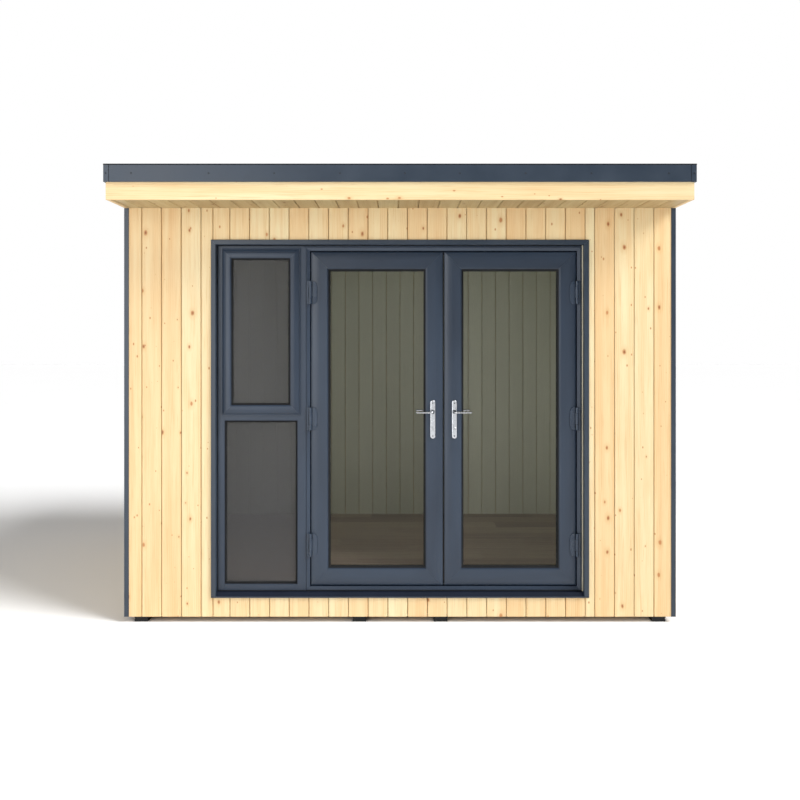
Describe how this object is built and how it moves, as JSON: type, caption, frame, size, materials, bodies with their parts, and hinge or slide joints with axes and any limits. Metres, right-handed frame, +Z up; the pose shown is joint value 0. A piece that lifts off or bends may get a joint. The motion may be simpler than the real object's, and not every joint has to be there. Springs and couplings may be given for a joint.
{
  "type": "garden office pod",
  "caption": "Timber-clad insulated garden room with a flat overhanging roof, outward-opening glazed double doors and a narrow side window.",
  "frame": {"origin": "middle of the footprint's box, on the ground under the bearers", "axes": "+X to the right seen from the front, +Y from the doors towards the back, +Z up"},
  "size_m": [3.074, 2.784, 2.477],
  "materials": {
    "bearer": "black, ribbed, matt",
    "panel": "insulated panel, matt",
    "laminate": "brown grey laminate boards, satin",
    "cladding": "pale untreated softwood boards with small knots, matt",
    "lining": "grey green painted boards, matt",
    "soffit": "pale softwood boards, matt",
    "fascia": "pale planed softwood, matt",
    "metal_trim": "anthracite powder coat, satin",
    "covering": "dark rubber sheet, matt",
    "profile": "anthracite foiled profile with a fine woodgrain, satin",
    "hinge": "anthracite paint, satin",
    "handle": "bright satin chrome",
    "glass": "clear sealed unit"
  },
  "bodies": {
    "pod": {"floor_bearers": "bearer", "floor_panel": "panel", "laminate_floor": "laminate", "front_wall_left": "panel", "front_wall_right": "panel", "front_wall_head": "panel", "left_wall": "panel", "right_wall": "panel", "back_wall": "panel", "front_cladding_left": "cladding", "front_cladding_right": "cladding", "front_cladding_middle": "cladding", "left_cladding": "cladding", "right_cladding": "cladding", "back_cladding": "cladding", "front_lining": "lining", "side_linings": "lining", "back_lining": "lining", "ceiling": "lining", "corner_trims": "metal_trim", "roof_panel": "panel", "roof_covering": "covering", "soffit": "soffit", "front_fascia": "fascia", "side_fascias": "fascia", "back_fascia": "fascia", "front_roof_trim": "metal_trim", "left_roof_trim": "metal_trim", "right_roof_trim": "metal_trim", "back_roof_trim": "metal_trim", "surround": "profile", "door_frame": "profile", "window_sash": "profile", "window_glass": "glass", "fixed_hinge_halves": "hinge"},
    "left_door": {"left_leaf": "profile", "left_leaf_glass": "glass", "left_hinge_wings": "hinge", "left_backplates": "handle"},
    "left_lever": {"left_lever": "handle"},
    "right_door": {"right_leaf": "profile", "right_leaf_glass": "glass", "right_hinge_wings": "hinge", "right_backplates": "handle"},
    "right_lever": {"right_lever": "handle"}
  },
  "joints": [
    {"name": "left_door_hinge", "type": "hinge", "parent": "pod", "child": "left_door", "pos_m": [-0.4975, -1.039, 1.124], "axis": [0, 0, -1], "range_deg": [0, 110]},
    {"name": "right_door_hinge", "type": "hinge", "parent": "pod", "child": "right_door", "pos_m": [0.9825, -1.039, 1.124], "axis": [0, 0, 1], "range_deg": [0, 110]},
    {"name": "left_lever_turn", "type": "hinge", "parent": "left_door", "child": "left_lever", "pos_m": [0.1825, -1.027, 1.162], "axis": [0, -1, 0], "range_deg": [-40, 40], "stiffness_Nm_per_rad": 6},
    {"name": "right_lever_turn", "type": "hinge", "parent": "right_door", "child": "right_lever", "pos_m": [0.3025, -1.027, 1.162], "axis": [0, 1, 0], "range_deg": [-40, 40], "stiffness_Nm_per_rad": 6}
  ]
}
